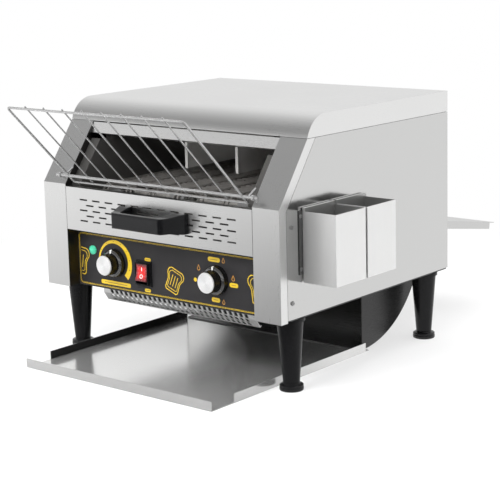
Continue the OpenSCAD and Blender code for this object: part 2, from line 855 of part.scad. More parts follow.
// Curved plate behind the belt that turns falling toast down toward the slide
module rear_guide() color("lightgray") {
    r = 70;
    w = 2 * wall_x - 2;
    top_z = outlet_z + outlet_h + 78;
    translate([-w / 2, rear_y - 26 - r, top_z]) rotate([0, 90, 0]) difference() {
        cylinder(h = w, r = r, $fn = 96);
        translate([0, 0, -1]) cylinder(h = w + 2, r = r - sheet, $fn = 96);
        translate([-r - 1, -r - 1, -1]) cube([2 * r + 2, r + 1, w + 2]);
        translate([0, -r - 1, -1]) cube([r + 1, 2 * r + 2, w + 2]);
    }
    block([-w / 2, rear_y - 26 - sheet, outlet_z + outlet_h + 3],
          [w, sheet, top_z - outlet_z - outlet_h - 3]);
}

// ---------- under the body ----------

slide_low = 3;
slide_cz = slide_low + slide_r;
slide_top = body_bottom;
slide_back = slide_start + sqrt(slide_r * slide_r - pow(slide_cz - slide_top, 2));

// Side view of the space above the slide, under the body
module slide_region() {
    intersection() {
        translate([slide_start, slide_cz]) circle(r = slide_r, $fn = 128);
        translate([slide_start, slide_low]) square([slide_r + 10, slide_top - slide_low]);
    }
}

module toast_slide() color("lightgray") {
    w = tray_w - 12;
    along_x(-w / 2, w) intersection() {
        difference() {
            translate([slide_start, slide_cz]) circle(r = slide_r + sheet, $fn = 128);
            translate([slide_start, slide_cz]) circle(r = slide_r, $fn = 128);
        }
        translate([slide_start, slide_low - sheet]) square([slide_r + 10, slide_top - slide_low + sheet]);
    }
}

module slide_sides() color("dimgray") {
    both_sides() {
        along_x(tray_w / 2 - 5.4, sheet) slide_region();
        block([tray_w / 2 - 5.4, slide_start + 8, slide_top - sheet], [9, 120, sheet]);
    }
}

module output_tray() color("silver") {
    w = tray_w;
    back = slide_start + 12;
    rim_start = tray_front + 49;
    block([-w / 2, tray_front, 0], [w, back - tray_front, sheet]);
    // front rim with rounded lower corners
    along_y(tray_front, sheet) hull() both_sides() {
        translate([w / 2 - 4, 4]) circle(r = 4, $fn = 32);
        translate([w / 2 - 1, tray_rim - 1]) square([1, 1]);
    }
    both_sides() block([w / 2 - sheet, rim_start, 0], [sheet, back - 8 - rim_start, tray_rim]);
}

module rear_shelf() color("silver") {
    w = shelf_w - 3;
    inside = 12;
    len = shelf_out + inside;
    flange = 12;
    lip = 14;
    translate([0, rear_y, shelf_z]) rotate([-shelf_tilt, 0, 0]) {
        block([-w / 2, -inside, -sheet], [w, len + lip, sheet]);
        both_sides() block([w / 2 - sheet, -inside, -flange], [sheet, len, flange]);
        block([-w / 2 + 4, len - inside - sheet, -7], [w - 8, sheet, 6.5]);
    }
}

// ---------- loading rack ----------

// Corner of the rack's frame: a quarter ring in the plane of the rack
module rack_corner(bend) {
    rotate([90, 0, 0]) rotate_extrude(angle = 90, $fn = 32) translate([bend, 0]) circle(r = rack_rod_r, $fn = 20);
}

module loading_rack() color("silver") {
    a = 180 - rack_tilt;
    top_y = pivot_y - rack_l * cos(rack_tilt);
    top_z = pivot_z + rack_l * sin(rack_tilt);
    tail_y = pivot_y + rack_tail * cos(rack_tilt);
    tail_z = pivot_z - rack_tail * sin(rack_tilt);
    bend = 6;
    // straight rods end inside the bends, a shade thinner than them
    rod_in = rack_rod_r - 0.05;
    overlap = 0.5;
    gap = rack_w / (rack_wires + 1);
    // the wires lie on the upper side of the rods and stand out past the last one
    lift = 2.5;
    nub = 2.4;
    tail_r = 1.5;
    arm_l = 20;
    arm_rise = 30;
    arm_r = 1.6;
    bar_x(pivot_y, pivot_z, 2 * inner_x + 28, pivot_r, 32);
    bar_x(top_y, top_z, rack_w - 2 * bend + 2 * overlap, rod_in, 20);
    bar_x(tail_y, tail_z, rack_w + 2, tail_r, 16);
    both_sides() {
        bar_yz(rack_w / 2, tail_y, tail_z, a, rack_l + rack_tail - bend + overlap, rod_in, 20);
        translate([rack_w / 2 - bend, top_y, top_z]) rotate([a - 90, 0, 0]) translate([0, 0, -bend]) rack_corner(bend);
        // arm that swings down onto the edge of the cheek when the rack is folded up
        bar_yz(inner_x - 4, pivot_y, pivot_z, arm_rise, arm_l, arm_r, 16);
    }
    for (i = [1 : rack_wires]) {
        x = -rack_w / 2 + i * gap;
        bar_yz(x, tail_y + lift * sin(rack_tilt), tail_z + lift * cos(rack_tilt), a,
               rack_l + rack_tail + nub, rack_wire_r, 14);
    }
}

// Small eyes on the sloped cheek faces that hold the pivot rod
module rack_bushes() color("silver") {
    out = (front_y + (pivot_z - slope_z) / tan(slope_a) - pivot_y) * sin(slope_a);
    eye_r = 3.9;
    eye_l = 4;
    both_sides() translate([inner_x + 4, pivot_y, pivot_z]) difference() {
        union() {
            rotate([0, 90, 0]) cylinder(h = eye_l, r = eye_r, $fn = 32);
            rotate([slope_a - 180, 0, 0]) translate([eye_l / 2, 0, 0]) cylinder(h = out - 0.02, r = 1.8, $fn = 24);
        }
        translate([-1, 0, 0]) rotate([0, 90, 0]) cylinder(h = eye_l + 2, r = pivot_r + 0.06, $fn = 32);
    }
}

// ---------- legs ----------

module leg(x, y) {
    translate([x, y, 0]) difference() {
        union() {
            translate([0, 0, foot_h]) cylinder(h = body_bottom - foot_h - 5, r1 = 12.2, r2 = 19.4, $fn = 48);
            translate([0, 0, body_bottom - 5]) cylinder(h = 5, r = 21.8, $fn = 48);
            // stud and nut through the base pan
            translate([0, 0, body_bottom - 1]) cylinder(h = 13, r = 4, $fn = 24);
            translate([0, 0, body_bottom + sheet]) cylinder(h = 6.5, r = 7.5, $fn = 6);
        }
        translate([0, 0, foot_h - 1]) cylinder(h = 40, r = 4.06, $fn = 32);
    }
}

// Disc foot with a grooved rim, a neck and a threaded stud that turns in the leg
module foot(x, y) {
    r = 17.6;
    stud_r = 4;
    neck_z = foot_h - 0.8;
    translate([x, y, 0]) rotate_extrude($fn = 64) polygon([
        [0, 0], [r - 1.4, 0], [r - 0.4, 0.5], [r, 1.5], [r, 4.4], [r - 1, 5.2],
        [r - 1, 5.8], [r - 0.2, 6.4], [r - 0.4, 8.2], [r - 2, 9.2], [13, 9.8],
        [12, neck_z], [stud_r, neck_z], [stud_r, 43], [stud_r - 0.8, 43.7], [0, 43.7]
    ]);
}

module leg_fr() color("black") leg(leg_x, leg_fy);
module leg_fl() color("black") leg(-leg_x, leg_fy);
module leg_rr() color("black") leg(leg_x, leg_ry);
module leg_rl() color("black") leg(-leg_x, leg_ry);
module foot_fr() color("black") foot(leg_x, leg_fy);
module foot_fl() color("black") foot(-leg_x, leg_fy);
module foot_rr() color("black") foot(leg_x, leg_ry);
module foot_rl() color("black") foot(-leg_x, leg_ry);

// ---------- utensil boxes ----------

hook_w = 18;
hook_h = 10;
hook_play = 0.4;
hook_z = box_z + box_h - 26;
hook_out = 3 * sheet + 2 * hook_play;

// Plate on the side panel with two upturned hooks for each box
module box_plate() color("gainsboro") {
    block([half_w, plate_y, box_z + 12], [sheet, plate_l, plate_top - box_z - 12]);
    for (k = [0, 1], e = [8, box_l - 8 - hook_w]) {
        y = box_front + k * (box_l + box_gap) + e;
        block([half_w + 0.5, y, hook_z], [hook_out - 0.5, hook_w, sheet]);
        block([half_w + hook_out - sheet, y, hook_z], [sheet, hook_w, hook_h]);
    }
}

module utensil_box(k) {
    y = box_front + k * (box_l + box_gap);
    x = half_w + hook_out + hook_play;
    w = half_w + box_out - x;
    leg_x0 = half_w + sheet + hook_play;
    rise = 5;
    difference() {
        union() {
            difference() {
                block([x, y, box_z], [w, box_l, box_h]);
                block([x + sheet, y + sheet, box_z + sheet], [w - 2 * sheet, box_l - 2 * sheet, box_h]);
            }
            // back wall raised over the rim and folded back toward the plate
            block([x, y, box_z + box_h - 1], [sheet, box_l, rise + 1]);
            block([leg_x0, y, box_z + box_h + rise - sheet], [x - leg_x0 + 0.5, box_l, sheet]);
            // side walls carried back so that they hide the hooks
            for (edge = [y, y + box_l - sheet]) {
                block([leg_x0, edge, box_z], [x - leg_x0 + 0.5, sheet, box_h + rise]);
            }
            // inner flanges that hang over the plate's hooks
            for (e = [8, box_l - 8 - hook_w]) {
                block([leg_x0, y + e, hook_z + hook_h + hook_play], [x - leg_x0 + 0.5, hook_w, sheet]);
                block([leg_x0, y + e, hook_z + sheet + 1.5], [sheet, hook_w, hook_h - sheet - 1]);
            }
        }
        for (i = [-1 : 1], j = [-1 : 1]) {
            translate([x + w / 2 + i * 14, y + box_l / 2 + j * 18, box_z - 1]) cylinder(h = 5, r = 3, $fn = 20);
        }
    }
}

module utensil_box_front() color("gainsboro") utensil_box(0);
module utensil_box_rear() color("gainsboro") utensil_box(1);

// ---------- services ----------

fan_y = 75;
fan_z = 160;
fan_x = -half_w + sheet;
fan_w = 80;
fan_t = 20;
hub_r = 14;
stub_r = 2;

// Square frame with a round duct, beside the louvres of the left panel
module fan_frame() color("darkslategray") {
    translate([fan_x, fan_y, fan_z]) rotate([0, 90, 0]) {
        difference() {
            block([-fan_w / 2, -fan_w / 2, 0], [fan_w, fan_w, fan_t]);
            translate([0, 0, -1]) cylinder(h = fan_t + 2, r = fan_w / 2 - 3, $fn = 64);
        }
        translate([0, 0, 14]) difference() {
            union() {
                for (a = [0 : 60 : 120]) {
                    rotate([0, 0, a]) block([2 - fan_w / 2, -1.5, 0], [fan_w - 4, 3, 3]);
                }
                cylinder(h = fan_t - 14, r = hub_r, $fn = 32);
            }
            translate([0, 0, -1]) cylinder(h = 10, r = stub_r + 0.06, $fn = 24);
        }
    }
}

module fan_rotor() color("dimgray") {
    translate([fan_x, fan_y, fan_z]) rotate([0, 90, 0]) {
        translate([0, 0, 1]) cylinder(h = 12, r = hub_r, $fn = 32);
        translate([0, 0, 12]) cylinder(h = 7.5, r = stub_r, $fn = 24);
        // blades set at an angle round the hub
        for (a = [0 : 60 : 300]) {
            rotate([0, 0, a]) translate([hub_r - 2, 0, 7]) rotate([32, 0, 0]) block([0, -6, -0.8], [23, 12, 1.6]);
        }
    }
}

module terminal_block() color("beige") {
    x0 = -216;
    block([x0, -80, body_bottom + sheet], [24, 66, 4]);
    for (i = [0 : 4]) {
        translate([x0 + 3, -78 + i * 13, body_bottom + sheet + 4]) difference() {
            cube([18, 11, 14]);
            for (x = [5, 13]) {
                translate([x, 5.5, 6]) cylinder(h = 10, r = 2.4, $fn = 20);
            }
        }
    }
}

// Cable gland in the rear panel: flange, nut and throat
module cable_gland() color("black") {
    translate([gland_x, rear_y, gland_z]) rotate([-90, 0, 0]) difference() {
        union() {
            translate([0, 0, -9]) cylinder(h = 14, r = gland_r, $fn = 32);
            cylinder(h = 4, r = 12, $fn = 6);
            translate([0, 0, 4]) cylinder(h = 10, r1 = 10.5, r2 = 7.5, $fn = 32);
            translate([0, 0, -sheet - 5]) cylinder(h = 5, r = 12, $fn = 6);
        }
        translate([0, 0, -10]) cylinder(h = 30, r = 4, $fn = 32);
    }
}

// Screws of the side panels, the back and the box plate
module case_screws() color("silver") {
    both_sides() {
        translate([half_w, front_y + 26, slope_z - 28]) rotate([0, 0, 90]) screw_head();
        translate([half_w, front_y + 26, body_bottom + 26]) rotate([0, 0, 90]) screw_head();
    }
    for (y = [plate_y + 4, plate_y + plate_l - 4], z = [plate_top - 8, box_z + 20]) {
        translate([half_w + sheet, y, z]) rotate([0, 0, 90]) screw_head(3, 1.6);
    }
    for (x = [-half_w + 12, -60, 60, half_w - 12], z = [body_bottom + 14, seam_z - 12]) {
        translate([x, rear_y, z]) rotate([0, 0, 180]) screw_head();
    }
}

// ---------- what is drawn ----------

top_cover();
side_panel_right();
side_panel_left();
front_cheek_right();
front_cheek_left();
opening_lip();
rear_panel();
base_pan();
control_panel();
bottom_guard();
drawer_front();
crumb_tray();
drawer_handle();
speed_knob();
speed_cap();
speed_spindle();
mode_knob();
mode_cap();
mode_spindle();
speed_regulator();
mode_selector();
rocker_bezel();
rocker_button();
indicator_lens();
inner_wall_right();
inner_wall_left();
conveyor_belt();
drive_shaft();
idler_shaft();
shaft_bushes();
gear_motor();
motor_sprocket();
drive_chain();
heating_tubes();
reflectors();
lane_guides();
rear_guide();
toast_slide();
slide_sides();
output_tray();
rear_shelf();
loading_rack();
rack_bushes();
leg_fr();
leg_fl();
leg_rr();
leg_rl();
foot_fr();
foot_fl();
foot_rr();
foot_rl();
box_plate();
utensil_box_front();
utensil_box_rear();
fan_frame();
fan_rotor();
terminal_block();
cable_gland();
case_screws();
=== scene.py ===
"""Looks of a countertop conveyor toaster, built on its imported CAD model. Metres, +Z up, -Y is the front."""

import math

import bmesh
import bpy
from mathutils import Matrix, Vector


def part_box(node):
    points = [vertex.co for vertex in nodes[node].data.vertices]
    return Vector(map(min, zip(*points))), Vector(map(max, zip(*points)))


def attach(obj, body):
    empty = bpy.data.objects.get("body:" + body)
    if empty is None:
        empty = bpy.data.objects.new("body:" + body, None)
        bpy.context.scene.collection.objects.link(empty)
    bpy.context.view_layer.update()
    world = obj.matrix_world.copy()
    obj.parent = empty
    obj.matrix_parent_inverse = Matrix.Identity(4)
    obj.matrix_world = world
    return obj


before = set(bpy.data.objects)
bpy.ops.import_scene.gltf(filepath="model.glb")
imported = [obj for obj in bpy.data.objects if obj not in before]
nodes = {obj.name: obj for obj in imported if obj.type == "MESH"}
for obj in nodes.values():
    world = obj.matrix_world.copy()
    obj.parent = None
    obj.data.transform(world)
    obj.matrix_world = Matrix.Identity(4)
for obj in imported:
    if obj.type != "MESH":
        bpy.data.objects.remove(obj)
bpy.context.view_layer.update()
MM = 0.001


def new_object(name, data):
    """Object in the scene that holds the data."""
    obj = bpy.data.objects.new(name, data)
    bpy.context.scene.collection.objects.link(obj)
    return obj


def middle_of(node):
    """Middle of a CAD node's box."""
    low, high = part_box(node)
    return (low + high) / 2


# ---------- camera: the photograph's angle ----------

PICTURE_PX = 500
FOCAL_PX = 1501.79
SHIFT_PX = -50
SENSOR_MM = 36
AZIMUTH, ELEVATION, ROLL = (math.radians(a) for a in (39.87, 10.11, -1.38))
# the camera's place, along its right, its up and its backward direction before the roll
PLACE_RIGHT, PLACE_UP, PLACE_BACK = 3.92 * MM, 226.23 * MM, 2410.87 * MM

right = Vector((math.cos(AZIMUTH), math.sin(AZIMUTH), 0))
level = Vector((-math.sin(AZIMUTH), math.cos(AZIMUTH), 0))
forward = math.cos(ELEVATION) * level + Vector((0, 0, -math.sin(ELEVATION)))
up = right.cross(forward)
rolled_right = math.cos(ROLL) * right + math.sin(ROLL) * up
rolled_up = -math.sin(ROLL) * right + math.cos(ROLL) * up
place = PLACE_RIGHT * right + PLACE_UP * up - PLACE_BACK * forward

camera_data = bpy.data.cameras.new("camera")
camera_data.sensor_width = SENSOR_MM
camera_data.lens = FOCAL_PX / PICTURE_PX * SENSOR_MM
camera_data.shift_y = SHIFT_PX / PICTURE_PX
camera_data.clip_start = 0.05
camera_data.clip_end = 60
camera = new_object("camera", camera_data)
axes = Matrix((rolled_right, rolled_up, -forward)).transposed().to_4x4()
camera.matrix_world = Matrix.Translation(place) @ axes
bpy.context.scene.camera = camera


# ---------- node kit ----------

class Net:
    """Short ways to add nodes to a node tree. A value is a number, a colour or another node's output."""

    def __init__(self, tree):
        self.tree = tree

    def node(self, kind, **values):
        n = self.tree.nodes.new(kind)
        for key, value in values.items():
            setattr(n, key, value)
        return n

    def link(self, a, b):
        self.tree.links.new(a, b)

    def coords(self, kind):
        return self.node("ShaderNodeTexCoord").outputs[kind]

    def split(self, vector):
        """The X, Y and Z outputs of a vector."""
        n = self.node("ShaderNodeSeparateXYZ")
        self.link(vector, n.inputs[0])
        return n.outputs

    def math(self, op, a, b=0):
        n = self.node("ShaderNodeMath", operation=op)
        for i, v in enumerate((a, b)):
            if isinstance(v, (int, float)):
                n.inputs[i].default_value = v
            else:
                self.link(v, n.inputs[i])
        return n.outputs[0]

    def hypotenuse(self, a, b):
        return self.math("SQRT", self.math("ADD", self.math("POWER", a, 2), self.math("POWER", b, 2)))

    def span(self, value, low, high, a=0.3, b=0.7):
        """Maps a value that runs from a to b onto low to high."""
        n = self.node("ShaderNodeMapRange")
        self.link(value, n.inputs["Value"])
        for key, v in (("From Min", a), ("From Max", b), ("To Min", low), ("To Max", high)):
            n.inputs[key].default_value = v
        return n.outputs["Result"]

    def ramp(self, value, stops):
        """Colour ramp with stops (position, colour) in rising order."""
        n = self.node("ShaderNodeValToRGB")
        elements = n.color_ramp.elements
        for i, (position, color) in enumerate(stops):
            stop = elements[i] if i < 2 else elements.new(position)
            stop.position = position
            stop.color = (*color, 1)
        self.link(value, n.inputs["Fac"])
        return n.outputs["Color"]

    def mix(self, share, first, second):
        """Colour that goes from the first to the second as the share grows."""
        n = self.node("ShaderNodeMixRGB")
        self.link(share, n.inputs["Fac"])
        for key, v in (("Color1", first), ("Color2", second)):
            if isinstance(v, tuple):
                n.inputs[key].default_value = (*v, 1)
            else:
                self.link(v, n.inputs[key])
        return n.outputs["Color"]

    def mix_shader(self, share, first, second):
        n = self.node("ShaderNodeMixShader")
        for i, v in enumerate((share, first, second)):
            self.link(v, n.inputs[i])
        return n.outputs["Shader"]


class Mat(Net):
    """A node material around one Principled shader."""

    def __init__(self, name, color, rough, metal=0.0, **sockets):
        self.material = bpy.data.materials.new(name)
        self.material.use_nodes = True
        super().__init__(self.material.node_tree)
        self.shader = self.tree.nodes["Principled BSDF"]
        self.shader.inputs["Base Color"].default_value = (*color, 1)
        self.shader.inputs["Roughness"].default_value = rough
        self.shader.inputs["Metallic"].default_value = metal
        for key, value in sockets.items():
            self.shader.inputs[key.replace("_", " ")].default_value = value
        self.color = color
        self.where = self.coords("Object")

    def noise(self, scale, stretch=(1, 1, 1), detail=3.0, rough=0.55):
        """Noise in object space, drawn out along the axes with small stretch values."""
        mapping = self.node("ShaderNodeMapping")
        mapping.inputs["Scale"].default_value = stretch
        self.link(self.where, mapping.inputs["Vector"])
        n = self.node("ShaderNodeTexNoise")
        n.inputs["Scale"].default_value = scale
        n.inputs["Detail"].default_value = detail
        n.inputs["Roughness"].default_value = rough
        self.link(mapping.outputs["Vector"], n.inputs["Vector"])
        return n.outputs["Fac"]

    def tint(self, value, dark, light):
        """Colour that runs from dark to light, both as factors of the base colour."""
        stops = [(position, [min(1, c * factor) for c in self.color])
                 for position, factor in ((0.25, dark), (0.75, light))]
        self.base = self.ramp(value, stops)
        self.set_color(self.base)

    def inner_face_shading(self, inner, middle):
        """After tint: another colour on upright faces toward a middle (x, y), or a plane X if y is None,
        which paints shade and dark reflections on one side of a sheet.
        """
        at = self.split(self.where)
        facing = self.split(self.coords("Normal"))
        parts = [self.math("MULTIPLY", self.math("SUBTRACT", at[k], c), facing[k])
                 for k, c in zip("XY", middle) if c is not None]
        toward = self.math("ADD", *parts) if len(parts) == 2 else parts[0]
        inside = self.math("LESS_THAN", toward, -0.001)
        self.set_color(self.mix(inside, self.base, inner))

    def bump(self, value, strength, distance, edge=0.0):
        """Relief from a value, on edges that look rounded over the given radius."""
        b = self.node("ShaderNodeBump")
        b.inputs["Strength"].default_value = strength
        b.inputs["Distance"].default_value = distance
        self.link(value, b.inputs["Height"])
        if edge:
            e = self.node("ShaderNodeBevel", samples=4)
            e.inputs["Radius"].default_value = edge
            self.link(e.outputs["Normal"], b.inputs["Normal"])
        self.link(b.outputs["Normal"], self.shader.inputs["Normal"])

    def set_color(self, value):
        self.link(value, self.shader.inputs["Base Color"])

    def rough(self, value):
        self.link(value, self.shader.inputs["Roughness"])


# ---------- materials ----------

# radius that edges look rounded over
SHEET_EDGE = 0.6 * MM
MOULD_EDGE = 0.6 * MM
HANDLE_EDGE = 2.8 * MM
CAP_EDGE = 0.4 * MM
# scale of the grain's noise along the brushing, against 1 across it
GRAIN_STRETCH = 0.02


def brushed(name, color, rough, along, streak, dull=0.0, inner=None, middle=(0, 0)):
    """Stainless sheet: grain brushed along an axis, faint handling marks, and, if inner is given, another
    colour on the faces toward a middle, which paints shade and dark reflections.
    """
    m = Mat(name, color, rough, 1.0 - dull)
    stretch = [GRAIN_STRETCH if axis == along else 1 for axis in "XYZ"]
    fine = m.noise(2600, stretch, detail=2.0)
    coarse = m.noise(700, stretch, detail=2.0)
    marks = m.noise(9, detail=5.0, rough=0.6)
    grain = m.math("ADD", m.math("MULTIPLY", fine, 0.75), m.math("MULTIPLY", coarse, 0.25))
    m.rough(m.math("ADD", m.span(grain, rough - streak, rough + streak), m.span(marks, -0.02, 0.03)))
    m.tint(grain, 0.97, 1.02)
    if inner:
        m.inner_face_shading(inner, middle)
    m.bump(grain, 0.02, 0.1 * MM, SHEET_EDGE)
    return m.material


def moulded(name, color, rough, grain=900, depth=0.03 * MM, edge=MOULD_EDGE, **sockets):
    """Moulded plastic with a fine spark-eroded skin."""
    m = Mat(name, color, rough, 0.0, **sockets)
    skin = m.noise(grain, detail=2.0)
    cloud = m.noise(35, detail=4.0)
    m.rough(m.math("ADD", m.span(skin, rough - 0.05, rough + 0.05), m.span(cloud, -0.04, 0.05)))
    m.tint(cloud, 0.85, 1.2)
    m.bump(skin, 0.35, depth, edge)
    return m.material


def ink(name, color, rough=0.45):
    """Screen print: a thin skin without rounded edges."""
    return moulded(name, color, rough, grain=1600, edge=0)


def wire(name, color, rough, dull=0.0):
    """Drawn bright wire with faint die lines and dulled patches."""
    m = Mat(name, color, rough, 1.0 - dull)
    lines = m.noise(700, detail=2.0)
    patches = m.noise(40, detail=4.0)
    m.rough(m.math("ADD", m.span(patches, rough - 0.06, rough + 0.1), m.span(lines, -0.03, 0.03)))
    m.tint(patches, 0.86, 1.05)
    m.bump(lines, 0.08, 0.1 * MM)
    return m.material


def spun(name, color, rough, dull):
    """Turned metal disc that faces along Y: fine rings, and a painted sheen, a painted highlight, in sectors
    round its middle.
    """
    m = Mat(name, color, rough, 1.0 - dull)
    face = m.split(m.coords("Generated"))
    across, upward = (m.math("SUBTRACT", face[k], 0.5) for k in "XZ")
    angle = m.math("ARCTAN2", upward, across)
    # painted highlight: two light and two dark sectors in the colour round the middle
    sheen = m.math("SINE", m.math("ADD", m.math("MULTIPLY", angle, 2), 0.6))
    rings = m.math("SINE", m.math("MULTIPLY", m.hypotenuse(across, upward), 260))
    speck = m.noise(900, detail=3.0)
    tone = m.math("ADD", m.span(sheen, 0.35, 0.65, -1, 1), m.span(speck, -0.25, 0.25))
    m.tint(m.math("ADD", tone, m.math("MULTIPLY", rings, 0.08)), 0.84, 1.06)
    m.rough(m.span(rings, rough - 0.04, rough + 0.04, -1, 1))
    m.bump(rings, 0.05, 0.02 * MM, CAP_EDGE)
    return m.material


LAMP_RED = (1.0, 0.03, 0.02)


def lit_lens(name, glow, rim, rough):
    """Translucent button with a red light, bright in the middle of its face and dark toward the rim."""
    m = Mat(name, glow, rough, 0.0, Coat_Weight=0.25, Emission_Strength=0.14)
    face = m.split(m.coords("Generated"))
    across, upward = (m.math("ABSOLUTE", m.math("SUBTRACT", face[k], 0.5)) for k in "XZ")
    cloud = m.noise(260, detail=3.0)
    reach = m.math("ADD", m.math("MAXIMUM", across, upward), m.span(cloud, -0.03, 0.03))
    # reach is 0 in the middle of the face and 0.5 at its edge
    m.set_color(m.mix(m.span(reach, 0.0, 1.0, 0.24, 0.44), glow, rim))
    light = m.mix(m.span(reach, 0.0, 1.0, 0.1, 0.4), LAMP_RED, (0, 0, 0))
    m.link(light, m.shader.inputs["Emission Color"])
    m.rough(m.span(cloud, rough - 0.05, rough + 0.05))
    m.bump(cloud, 0.1, 0.03 * MM, MOULD_EDGE)
    return m.material


def box_steel(end):
    """Steel of one utensil box, darker inside as painted shade."""
    return brushed("box_steel_" + end, (0.77, 0.77, 0.765), rough=0.33, along="Z", streak=0.03, dull=0.16,
                   inner=(0.42, 0.42, 0.415), middle=middle_of("utensil_box_" + end))


BRIGHT = (0.8, 0.8, 0.795)
steel_x = brushed("brushed_steel_x", BRIGHT, rough=0.3, along="X", streak=0.04)
steel_y = brushed("brushed_steel_y", (0.63, 0.63, 0.625), rough=0.14, along="Y", streak=0.02)
# cheeks: the inner faces are dark, painted shade between the cheeks and the panel and opening
steel_z = brushed("brushed_steel_z", BRIGHT, rough=0.3, along="Z", streak=0.04, inner=(0.1, 0.098, 0.095))
box_front = box_steel("front")
box_rear = box_steel("rear")
# box plate: dark steel, a painted dark reflection beside the boxes
plate_steel = brushed("plate_steel", (0.2, 0.2, 0.2), rough=0.25, along="Z", streak=0.02)
# tray: the inner faces of its rim are nearly black, a painted dark reflection
steel_tray = brushed("tray_steel", (0.73, 0.73, 0.725), rough=0.15, along="Y", streak=0.03, dull=0.2,
                     inner=(0.04, 0.04, 0.04), middle=middle_of("output_tray"))
# toast slide: dark, a painted dark reflection of the body's underside
steel_slide = brushed("slide_steel", (0.075, 0.075, 0.075), rough=0.28, along="X", streak=0.03, dull=0.45)
# opening lip: lighter than the other steel, a painted highlight along the lip
steel_lip = brushed("lip_steel", (0.93, 0.93, 0.925), rough=0.28, along="X", streak=0.04)
steel_shelf = brushed("shelf_steel", (0.62, 0.62, 0.615), rough=0.3, along="X", streak=0.03)
# inner walls of the toasting cell: dark, painted shade inside the machine
steel_cell = brushed("cell_steel", (0.1, 0.097, 0.093), rough=0.4, along="Y", streak=0.04, dull=0.3)
steel_inner = brushed("inner_steel", (0.7, 0.69, 0.67), rough=0.36, along="Y", streak=0.04, dull=0.45)
# slide's side plates: the outer faces are nearly black, a painted dark reflection; the inner faces are light
# steel
side_plate = brushed("slide_side", (0.009, 0.009, 0.009), rough=0.3, along="Y", streak=0.06, dull=0.9,
                     inner=(0.92, 0.92, 0.915), middle=(0, None))

# base pan: nearly black, painted shade seen through the slots of the bottom guard
pan_painted_shade = moulded("pan_painted_shade", (0.03, 0.03, 0.031), rough=0.4, grain=1200, depth=0.04 * MM)
panel_film = moulded("panel_film", (0.018, 0.0172, 0.0182), rough=0.42, grain=1600, depth=0.04 * MM,
                     Specular_IOR_Level=0.28)
black_grip = moulded("black_grip", (0.003, 0.003, 0.0035), rough=0.16, edge=HANDLE_EDGE,
                     Specular_IOR_Level=0.4)
black_knob = moulded("black_knob", (0.005, 0.005, 0.005), rough=0.25, grain=1400, depth=0.04 * MM,
                     Specular_IOR_Level=0.3)
black_leg = moulded("black_leg", (0.004, 0.004, 0.0045), rough=0.22, grain=1100, depth=0.05 * MM,
                    Specular_IOR_Level=0.22)
black_foot = moulded("black_foot", (0.007, 0.007, 0.0075), rough=0.24, grain=1100, depth=0.05 * MM,
                     Specular_IOR_Level=0.35)
control_body = moulded("control_body", (0.03, 0.03, 0.035), rough=0.5)
green_lens = moulded("green_lens", (0.06, 0.5, 0.3), rough=0.1, grain=500, Coat_Weight=1.0)
red_lens = lit_lens("red_lens", glow=(0.42, 0.012, 0.012), rim=(0.1, 0.02, 0.022), rough=0.26)
ceramic = moulded("ceramic", (0.72, 0.69, 0.6), rough=0.5)
quartz = moulded("quartz", (0.3, 0.29, 0.275), rough=0.25, grain=300, depth=0.05 * MM)

cap_metal = spun("cap_metal", (0.66, 0.66, 0.66), rough=0.34, dull=0.45)
rod_metal = wire("rod_metal", (0.45, 0.45, 0.45), rough=0.3)
belt_metal = wire("belt_metal", (0.32, 0.305, 0.29), rough=0.33, dull=0.3)
rack_metal = wire("rack_metal", (0.56, 0.56, 0.56), rough=0.13, dull=0.13)
ring_metal = wire("ring_metal", (0.3, 0.3, 0.3), rough=0.14)
bronze = wire("bronze", (0.5, 0.32, 0.13), rough=0.4)
motor_metal = wire("motor_metal", (0.32, 0.33, 0.35), rough=0.42)

yellow = ink("yellow_print", (0.53, 0.36, 0.012))
amber = ink("amber_print", (0.42, 0.2, 0.03))
white_print = ink("white_print", (0.8, 0.8, 0.78))
dark_print = ink("dark_print", (0.05, 0.045, 0.04), rough=0.5)
mark_print = ink("mark_print", (0.9, 0.72, 0.7), rough=0.4)

LOOKS = {
    steel_x: ("top_cover", "drawer_front", "rear_panel", "bottom_guard"),
    steel_lip: ("opening_lip",),
    steel_shelf: ("rear_shelf", "crumb_tray"),
    steel_cell: ("inner_wall_right", "inner_wall_left"),
    steel_z: ("front_cheek_right", "front_cheek_left"),
    steel_y: ("side_panel_right", "side_panel_left"),
    plate_steel: ("box_plate",),
    box_front: ("utensil_box_front",),
    box_rear: ("utensil_box_rear",),
    steel_tray: ("output_tray",),
    steel_slide: ("toast_slide",),
    side_plate: ("slide_sides",),
    pan_painted_shade: ("base_pan",),
    steel_inner: ("reflectors", "lane_guides", "rear_guide"),
    panel_film: ("control_panel",),
    black_grip: ("drawer_handle", "rocker_bezel", "cable_gland"),
    black_knob: ("speed_knob", "mode_knob"),
    black_leg: ("leg_fr", "leg_fl", "leg_rr", "leg_rl"),
    black_foot: ("foot_fr", "foot_fl", "foot_rr", "foot_rl"),
    control_body: ("speed_regulator", "mode_selector", "fan_frame", "fan_rotor"),
    red_lens: ("rocker_button",),
    green_lens: ("indicator_lens",),
    ceramic: ("terminal_block",),
    cap_metal: ("speed_cap", "mode_cap"),
    rod_metal: ("speed_spindle", "mode_spindle", "drive_shaft", "idler_shaft", "motor_sprocket",
                "case_screws"),
    belt_metal: ("conveyor_belt", "drive_chain"),
    rack_metal: ("loading_rack", "rack_bushes"),
    bronze: ("shaft_bushes",),
    motor_metal: ("gear_motor",),
    quartz: ("heating_tubes",),
}
for material, names in LOOKS.items():
    for name in names:
        mesh = nodes[name].data
        mesh.materials.clear()
        mesh.materials.append(material)


# ---------- flat outlines: lists of points (x, z) in mm ----------

def arc(cx, cz, r, start, end, steps):
    angles = [math.radians(start + (end - start) * i / steps) for i in range(steps + 1)]
    return [(cx + r * math.cos(a), cz + r * math.sin(a)) for a in angles]


CORNER_STEPS = 5
